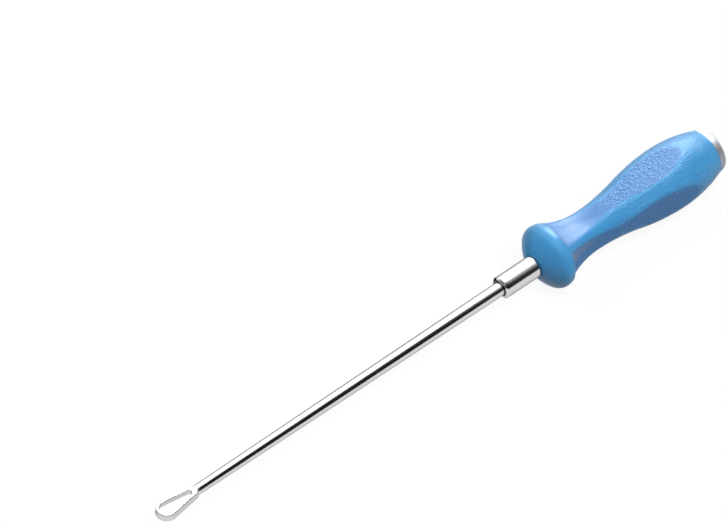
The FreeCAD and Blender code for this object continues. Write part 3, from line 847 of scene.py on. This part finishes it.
class BladeTree(ShapeTree):
    """Makes the ring blade as the surface of a solid that is given by distances to it."""

    def __init__(self, blade: "RingBlade") -> None:
        """Build the tree for a blade's sizes."""
        super().__init__("ring_blade_form", {
            "Tip Radius": "Float", "Root Radius": "Float", "Wall": "Float", "Height": "Float",
            "Edge": "Float", "Neck Radius": "Float", "Stem Radius": "Float", "Saddle": "Float"})
        x, y, z = self.split(self.node("GeometryNodeInputPosition").outputs[0])
        height = self.number("Height")
        lean = (z + height / 2) * math.tan(blade.flare)
        wall = self.number("Wall")
        outside = self.teardrop(x, y, blade.root_place, blade.tip_place,
                                self.number("Root Radius") - lean, self.number("Tip Radius") - lean,
                                blade.spread)
        hole_root = self.number("Root Radius") - wall - blade.spread * blade.web_length - lean
        inside = self.teardrop(x, y, blade.root_place + blade.web_length, blade.tip_place, hole_root,
                               self.number("Tip Radius") - wall - lean, blade.spread)
        slab = self.math("ABSOLUTE", z) - height / 2
        edge = self.number("Edge")
        band = self.hypot(self.math("MAXIMUM", outside + edge, 0.0),
                          self.math("MAXIMUM", slab + edge, 0.0))
        band = band + self.math("MINIMUM", self.math("MAXIMUM", outside, slab) + edge, 0.0) - edge
        off_axis = self.hypot(y, z)
        slope = self.math("MAXIMUM", x - blade.slope_place, 0.0) * blade.slope
        neck = self.math("MAXIMUM", off_axis - self.number("Neck Radius") + slope,
                         blade.seam - x)
        neck = self.math("MAXIMUM", neck, x - blade.slope_end)
        solid = self.math("SMOOTH_MIN", band, neck, self.number("Saddle"))
        solid = self.math("SMOOTH_MAX", solid, -inside, edge)
        solid = self.math("MAXIMUM", solid, blade.seam - x)
        stem = self.math("MAXIMUM", off_axis - self.number("Stem Radius"), blade.stem_end - x)
        stem = self.math("MAXIMUM", stem, x - blade.seam - blade.stem_overlap)
        solid = self.math("MINIMUM", solid, stem)
        density = self.clamp(0.5 - solid * (1 / MM), 0.0, 1.0)
        low = (blade.stem_end - blade.margin, -blade.half_width, -blade.half_height)
        high = (blade.tip + blade.margin, blade.half_width, blade.half_height)
        counts = [round((top - bottom) / blade.voxel) + 1 for bottom, top in zip(low, high)]
        cube = self.node("GeometryNodeVolumeCube", {
            "Density": density, "Min": low, "Max": high, "Resolution X": counts[0],
            "Resolution Y": counts[1], "Resolution Z": counts[2]})
        skin = self.node("GeometryNodeVolumeToMesh", {"Volume": cube.outputs[0], "Threshold": 0.5})
        self.finish(skin.outputs[0])

    def teardrop(self, x: Field, y: Field, root: float, tip: float, root_radius: Field,
                 tip_radius: Field, spread: float) -> Field:
        """Return the distance to a teardrop, the hull of two rounds, in its own plane.

        Args:
            x: place along the instrument.
            y: place across it.
            root: place of the root's centre.
            tip: place of the tip's centre.
            root_radius: radius of the round at the root.
            tip_radius: radius of the round at the tip.
            spread: how much the radius grows for each unit of length.

        Returns:
            The distance, which is negative inside.
        """
        across = self.math("ABSOLUTE", y)
        along = x - root
        steep = spread / math.sqrt(1 - spread ** 2)
        foot = self.clamp(along + across * steep, 0.0, tip - root)
        return self.hypot(across, along - foot) - root_radius - foot * spread


@dataclass
class RingBlade:
    """The teardrop ring with leaning walls, its saddle, its round neck and its stem."""

    tip: float
    half_width: float = 5.2 * MM
    half_height: float = 2.8 * MM
    tip_radius: float = 4.7 * MM
    root_radius: float = 2.65 * MM
    centres: float = 13.35 * MM
    wall: float = 0.65 * MM
    height: float = 3.2 * MM
    flare: float = math.radians(7.1)
    web_length: float = 1.65 * MM
    neck_length: float = 4.5 * MM
    neck_radius: float = 2.2 * MM
    stem_length: float = 8.0 * MM
    stem_radius: float = 1.28 * MM
    stem_overlap: float = 0.5 * MM
    edge: float = 0.30 * MM
    saddle: float = 1.1 * MM
    slope_setback: float = 0.3 * MM
    slope_length: float = 3.0 * MM
    slope_drop: float = 0.9 * MM
    margin: float = 0.8 * MM
    voxel: float = 0.11 * MM

    @property
    def tip_place(self) -> float:
        """Return the place of the tip round's centre."""
        return self.tip - self.tip_radius

    @property
    def root_place(self) -> float:
        """Return the place of the root round's centre."""
        return self.tip_place - self.centres

    @property
    def spread(self) -> float:
        """Return how much the teardrop's radius grows for each unit of length."""
        return (self.tip_radius - self.root_radius) / self.centres

    @property
    def back(self) -> float:
        """Return the place of the blade's rear end."""
        return self.root_place - self.root_radius

    @property
    def seam(self) -> float:
        """Return the place where the neck meets the shaft."""
        return self.back - self.neck_length

    @property
    def stem_end(self) -> float:
        """Return the place of the stem's rear end."""
        return self.seam - self.stem_length

    @property
    def slope_place(self) -> float:
        """Return the place where the neck starts to slope down into the web."""
        return self.back - self.slope_setback

    @property
    def slope_end(self) -> float:
        """Return the place where that slope ends."""
        return self.slope_place + self.slope_length

    @property
    def slope(self) -> float:
        """Return how steeply the neck slopes there."""
        return self.slope_drop / self.slope_length

    def build(self, finish: bpy.types.Material) -> bpy.types.Object:
        """Return the finished blade."""
        numbers = {"Tip Radius": self.tip_radius, "Root Radius": self.root_radius, "Wall": self.wall,
                   "Height": self.height, "Edge": self.edge, "Neck Radius": self.neck_radius,
                   "Stem Radius": self.stem_radius, "Saddle": self.saddle}
        start = outline_mesh("blade_start", [(0.0, 0.0, 0.0)])
        return BladeTree(self).make("ring_blade_form", start, numbers, finish, math.radians(40))


@dataclass
class SteelStem:
    """The turned steel pieces between the ring blade and the butt: shaft, ferrule and plate."""

    seam: float
    ferrule_rear: float
    ferrule_front: float
    tang_end: float = 9.92 * MM
    shaft_radius: float = 3.0 * MM
    quick_taper_length: float = 60.0 * MM
    quick_taper_radius: float = 2.58 * MM
    neck_radius: float = 2.2 * MM
    socket_radius: float = 1.3 * MM
    socket_depth: float = 8.02 * MM
    spigot_length: float = 17.0 * MM
    ferrule_radius: float = 4.87 * MM
    ferrule_chamfer: float = 0.7 * MM
    ferrule_round: float = 0.5 * MM
    spigot_radius: float = 4.2 * MM
    bore: float = 3.02 * MM
    mouth_radius: float = 3.55 * MM
    mouth_depth: float = 1.5 * MM
    plate_thickness: float = 3.9 * MM
    plate_radius: float = 10.45 * MM
    plate_face_radius: float = 9.6 * MM
    plate_round: float = 1.7 * MM
    plate_spigot_radius: float = 6.504 * MM
    plate_spigot_end: float = 9.9 * MM
    tang_round: float = 0.3 * MM
    taper_round: float = 40.0 * MM
    edge: float = 0.08 * MM
    shaft_steps: int = 96
    ferrule_steps: int = 128
    plate_steps: int = 192
    pitch: float = 2.0 * MM

    def shaft(self) -> list[Point]:
        """Return the shaft's outline with its tang and the socket for the blade's stem."""
        return rounded([
            (self.tang_end, 0.0, 0.0),
            (self.tang_end, self.shaft_radius, self.tang_round),
            (self.ferrule_front, self.shaft_radius, 0.0),
            (self.seam - self.quick_taper_length, self.quick_taper_radius, self.taper_round),
            (self.seam, self.neck_radius, 0.0),
            (self.seam, self.socket_radius, 0.0),
            (self.seam - self.socket_depth, self.socket_radius, 0.0),
            (self.seam - self.socket_depth, 0.0, 0.0)], self.pitch, closed=False)

    def ferrule(self) -> list[Point]:
        """Return the ferrule's outline with its bore, front recess and spigot."""
        shoulder = self.ferrule_rear + self.spigot_length
        return rounded([
            (self.ferrule_rear, self.bore, 0.0),
            (self.ferrule_rear, self.spigot_radius, self.edge),
            (shoulder, self.spigot_radius, 0.0),
            (shoulder, self.ferrule_radius, self.ferrule_round),
            (self.ferrule_front - self.ferrule_chamfer, self.ferrule_radius, self.edge),
            (self.ferrule_front, self.ferrule_radius - self.ferrule_chamfer, self.edge),
            (self.ferrule_front, self.mouth_radius, self.edge),
            (self.ferrule_front - self.mouth_depth, self.mouth_radius, 0.0),
            (self.ferrule_front - self.mouth_depth, self.bore, 0.0)], self.pitch, closed=True)

    def plate(self) -> list[Point]:
        """Return the striking plate's outline with its rounded edge and its spigot."""
        return rounded([
            (0.0, 0.0, 0.0),
            (0.0, self.plate_face_radius, self.plate_round),
            (self.plate_thickness, self.plate_radius, self.edge),
            (self.plate_thickness, self.plate_spigot_radius, 0.0),
            (self.plate_spigot_end, self.plate_spigot_radius, self.edge),
            (self.plate_spigot_end, 0.0, 0.0)], self.pitch, closed=False)

    def build(self, tree: TurnedTree, name: str, outline: list[Point], steps: int,
              finish: bpy.types.Material) -> bpy.types.Object:
        """Turn one of the outlines.

        Args:
            tree: the Geometry Nodes that turn it.
            name: the new piece's name.
            outline: its outline.
            steps: how many faces go round it.
            finish: its material.

        Returns:
            The finished piece.
        """
        rows = [(place, radius, 0.0) for place, radius in outline]
        return tree.make(name, outline_mesh(f"{name}_outline", rows),
                         {"Steps": steps, "Weld": WELD}, finish)


@dataclass(frozen=True)
class Card:
    """A flat card along the instrument, which only mirrors see.

    Its edges lie at two angles, degrees round the instrument's axis from +Y over the top, each at its
    own reach from the axis, and its ends at two places along X from the aim.
    """

    name: str
    low: float
    high: float
    rear: float
    front: float
    shade: float
    shade_high: float
    reach: float = 1.0


@dataclass(frozen=True)
class Lamp:
    """A square soft box, which mirrors don't show: its way and reach from the aim, side and watts."""

    name: str
    way: tuple[float, float, float]
    reach: float
    size: float
    power: float


@dataclass
class Studio:
    """A plain pale floor, soft light, cards that only mirrors see, and the camera."""

    floor_height: float
    aim: Vector
    azimuth: float = math.radians(138.0)
    elevation: float = math.radians(48.5)
    roll: float = math.radians(-0.67)
    distance: float = 4.0
    scale: float = 0.40435 * MM
    aim_across: float = 439.03
    aim_down: float = 329.14
    sensor: float = 36.0
    floor_size: float = 30.0
    floor_seen: Colour = (0.95, 0.95, 0.95)
    floor_unseen: Colour = (0.12, 0.12, 0.13)
    clip_near: float = 0.05
    clip_far: float = 100.0
    backdrop: float = 0.90
    fill: float = 0.15
    cards: tuple[Card, ...] = (
        Card("dark_card", 4.0, 40.0, -2.4, 2.6, 0.02, 0.05),
        Card("grey_card", 40.0, 76.0, -2.4, 2.6, 0.05, 0.85),
        Card("shaft_card", 9.0, 64.0, -0.17, 0.45, 0.01, 0.01, 0.3),
        Card("shaft_edge_card", 64.0, 79.0, -0.17, 0.45, 0.01, 0.3, 0.3),
        Card("top_card", 76.0, 126.0, -2.0, 0.6, 1.75, 1.75, 1.2),
        Card("rear_card", 126.0, 172.0, -2.0, 0.6, 1.7, 1.7, 1.2),
        Card("window_card", 106.0, 140.0, -1.1, -0.56, 29.0, 29.0),
        Card("rear_window_card", 140.0, 178.0, -1.1, -0.60, 6.0, 6.0))
    lamps: tuple[Lamp, ...] = (
        Lamp("key_box", (-0.05, 0.45, 0.89), 1.8, 1.3, 37.0),
        Lamp("back_box", (0.25, -0.80, 0.55), 2.0, 1.2, 17.0))
    end_reach: float = 2.2
    end_across: Point = (-2.0, 1.0)
    end_up: Point = (0.2, 1.8)
    end_shade: float = 0.2
    # The low card: a dark strip on the floor behind the shaft that only mirrors see, a painted shadow of
    # the shaft.
    low_along: Point = (0.104, 0.268)
    low_across: Point = (-0.012, -0.12)
    low_lift: float = 0.2 * MM
    shaft_shadow_shade: float = 0.02

    def camera(self) -> None:
        """Make the camera at the photograph's viewing angle and make it the scene's own."""
        sine, cosine = math.sin(self.azimuth), math.cos(self.azimuth)
        back = Vector((sine * math.cos(self.elevation), -cosine * math.cos(self.elevation),
                       math.sin(self.elevation)))
        right = Vector((cosine, sine, 0.0))
        up = back.cross(right)
        across = right * math.cos(self.roll) - up * math.sin(self.roll)
        upright = right * math.sin(self.roll) + up * math.cos(self.roll)
        offset = (across * (PHOTO_WIDTH / 2 - self.aim_across)
                  + upright * (self.aim_down - PHOTO_HEIGHT / 2)) * self.scale
        data = bpy.data.cameras.new("camera")
        data.sensor_width = self.sensor
        data.lens = self.sensor * self.distance / (PHOTO_WIDTH * self.scale)
        data.clip_start, data.clip_end = self.clip_near, self.clip_far
        camera = bpy.data.objects.new("camera", data)
        turn = camera.matrix_world.to_3x3()
        turn.col[0], turn.col[1], turn.col[2] = across, upright, back
        camera.matrix_world = turn.to_4x4()
        camera.location = self.aim + back * self.distance + offset
        bpy.context.scene.collection.objects.link(camera)
        bpy.context.scene.camera = camera

    def seen_directly(self, tree: Tree) -> Field:
        """Return 1 for rays from the camera, mirrors and clear pieces, and 0 for the rest."""
        path = tree.node("ShaderNodeLightPath").outputs
        seen = tree.math("MAXIMUM", Field(tree, path["Is Camera Ray"]),
                         Field(tree, path["Is Glossy Ray"]))
        return tree.math("MAXIMUM", seen, Field(tree, path["Is Transmission Ray"]))

    def floor(self) -> None:
        """Lay the pale floor, which looks white and keeps the instrument's soft shadow."""
        half = self.floor_size / 2
        mesh = bpy.data.meshes.new("floor")
        corners = [(-half, -half), (half, -half), (half, half), (-half, half)]
        mesh.from_pydata([(x, y, self.floor_height) for x, y in corners], [], [(0, 1, 2, 3)])
        material = bpy.data.materials.new("pale_floor")
        material.use_nodes = True
        tree = Tree(material.node_tree)
        seen = self.seen_directly(tree)
        matt = tree.node("ShaderNodeBsdfDiffuse",
                         {"Color": tree.mix_colours(seen, self.floor_unseen, self.floor_seen)})
        glow = tree.node("ShaderNodeEmission", {"Color": WHITE, "Strength": 1.0})
        mixed = tree.node("ShaderNodeMixShader", {0: seen * self.backdrop, 1: matt.outputs[0],
                                                  2: glow.outputs[0]})
        tree.node("ShaderNodeOutputMaterial", {"Surface": mixed.outputs[0]})
        mesh.materials.append(material)
        floor = bpy.data.objects.new("floor", mesh)
        bpy.context.scene.collection.objects.link(floor)

    def world(self) -> None:
        """Surround the scene with white for the camera and mirrors, and with a soft fill for the rest."""
        world = bpy.data.worlds.new("studio")
        world.use_nodes = True
        tree = Tree(world.node_tree)
        seen = self.seen_directly(tree)
        light = tree.node("ShaderNodeBackground", {
            "Color": WHITE, "Strength": self.fill + seen * (1.0 - self.fill)})
        tree.node("ShaderNodeOutputWorld", {"Surface": light.outputs[0]})
        bpy.context.scene.world = world

    def hang(self, lamp: Lamp) -> None:
        """Hang a soft box that points at the aim."""
        data = bpy.data.lights.new(lamp.name, "AREA")
        data.shape = "SQUARE"
        data.size, data.energy = lamp.size, lamp.power
        box = bpy.data.objects.new(lamp.name, data)
        way = Vector(lamp.way)
        box.rotation_euler = way.to_track_quat("Z", "Y").to_euler()
        box.location = self.aim + way.normalized() * lamp.reach
        box.visible_camera = box.visible_glossy = False
        bpy.context.scene.collection.objects.link(box)

    def glow(self, name: str, points: list[Vector], shade: float, shade_high: float) -> None:
        """Stand a card that only mirrors see.

        Args:
            name: the card's name.
            points: its corners, the first two on its low edge.
            shade: how bright it is at that edge.
            shade_high: how bright it is at the other edge.
        """
        mesh = bpy.data.meshes.new(name)
        mesh.from_pydata(points, [], [(0, 1, 2, 3)])
        mesh.attributes.new("shade", "FLOAT", "POINT").data.foreach_set(
            "value", [shade, shade, shade_high, shade_high])
        material = bpy.data.materials.new(name)
        material.use_nodes = True
        tree = Tree(material.node_tree)
        level = tree.node("ShaderNodeAttribute", attribute_name="shade").outputs["Fac"]
        glow = tree.node("ShaderNodeEmission", {"Color": WHITE, "Strength": level})
        tree.node("ShaderNodeOutputMaterial", {"Surface": glow.outputs[0]})
        mesh.materials.append(material)
        card = bpy.data.objects.new(name, mesh)
        card.visible_camera = card.visible_diffuse = card.visible_shadow = False
        bpy.context.scene.collection.objects.link(card)

    def corners(self, card: Card) -> list[Vector]:
        """Return the corners of a card along the instrument."""
        low, high = (Vector((0.0, math.cos(math.radians(angle)), math.sin(math.radians(angle))))
                     * card.reach for angle in (card.low, card.high))
        rear, front = Vector((self.aim.x + card.rear, 0, 0)), Vector((self.aim.x + card.front, 0, 0))
        return [rear + low, front + low, front + high, rear + high]

    def build(self) -> None:
        """Set up floor, world, lamps, cards and camera."""
        self.floor()
        self.world()
        for lamp in self.lamps:
            self.hang(lamp)
        for card in self.cards:
            self.glow(card.name, self.corners(card), card.shade, card.shade_high)
        end = [Vector((self.aim.x + self.end_reach, across, up))
               for up in self.end_up for across in self.end_across]
        self.glow("end_card", [end[0], end[1], end[3], end[2]], self.end_shade, self.end_shade)
        # Painted shadow of the shaft on the floor behind it, seen only in mirrors.
        low = [Vector((along, across, self.floor_height + self.low_lift))
               for across in self.low_across for along in self.low_along]
        self.glow("shaft_shadow_card", [low[0], low[1], low[3], low[2]], self.shaft_shadow_shade, self.shaft_shadow_shade)
        self.camera()
        scene = bpy.context.scene
        scene.view_settings.view_transform = "Standard"


def dress_inner_nodes(core: bpy.types.Material, fastener: bpy.types.Material) -> None:
    """Give the pieces inside the handle, which keep their CAD meshes, their finishes.

    Args:
        core: the turned aluminium.
        fastener: the fasteners' steel.
    """
    finishes = {"handle_core": core, "ferrule_pin": fastener, "tang_pin": fastener,
                "plate_pin": fastener, "tang_washer": fastener, "tang_nut": fastener}
    for name, finish in finishes.items():
        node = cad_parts[name]
        node.data.materials.clear()
        node.data.materials.append(finish)
        LOG.info("%s: CAD mesh with %s", name, finish.name)


def main() -> None:
    """Build and dress every piece, then set up the studio."""
    logging.basicConfig(level=logging.INFO, format="%(name)s %(message)s")
    grip_low, grip_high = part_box("silicone_grip")
    blade_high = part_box("ring_blade")[1]
    silicone = SiliconeFinish("blue_silicone").material()
    core_finish = SteelFinish("turned_aluminium", colour=(0.72, 0.73, 0.75), roughness=0.3,
                              line_depth=0.3).material()
    fastener_finish = SteelFinish("fastener_steel", colour=(0.50, 0.50, 0.51), roughness=0.28).material()

    blade = RingBlade(tip=blade_high.x)
    # The polished finish paints shade along the ring's rounded top edge.
    polished = SteelFinish("polished_steel", satin_from=blade.back - 1.8 * MM,
                           satin_to=blade.back + 1.2 * MM, edge_shade=0.75).material()
    satin = SteelFinish("satin_steel", colour=(0.43, 0.445, 0.475), roughness=0.5,
                        line_depth=0.02).material()
    dress(blade.build(polished), Slot.POLISHED_STEEL, "ring_blade")
    ferrule_low, ferrule_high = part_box("ferrule")
    stem = SteelStem(seam=blade.seam, ferrule_rear=ferrule_low.x, ferrule_front=ferrule_high.x)
    turned = TurnedTree()
    dress(stem.build(turned, "shaft_rod", stem.shaft(), stem.shaft_steps, polished),
          Slot.POLISHED_STEEL, "shaft")
    dress(stem.build(turned, "ferrule_bush", stem.ferrule(), stem.ferrule_steps, polished),
          Slot.POLISHED_STEEL, "ferrule")
    dress(stem.build(turned, "striking_plate_cap", stem.plate(), stem.plate_steps, satin),
          Slot.POLISHED_STEEL, "striking_plate")
    grip = Grip(rear=grip_low.x, front=grip_high.x, flange_radius=grip_high.z)
    grip.core = HandleCore().cavity(grip.front)
    dress(grip.build(GripTree(), silicone), Slot.BLUE_SILICONE, "silicone_grip")
    dress_inner_nodes(core_finish, fastener_finish)
    Studio(floor_height=grip_low.z - 0.05 * MM, aim=Vector((0.15, 0.0, 0.0))).build()


if __name__ == "__main__":
    main()
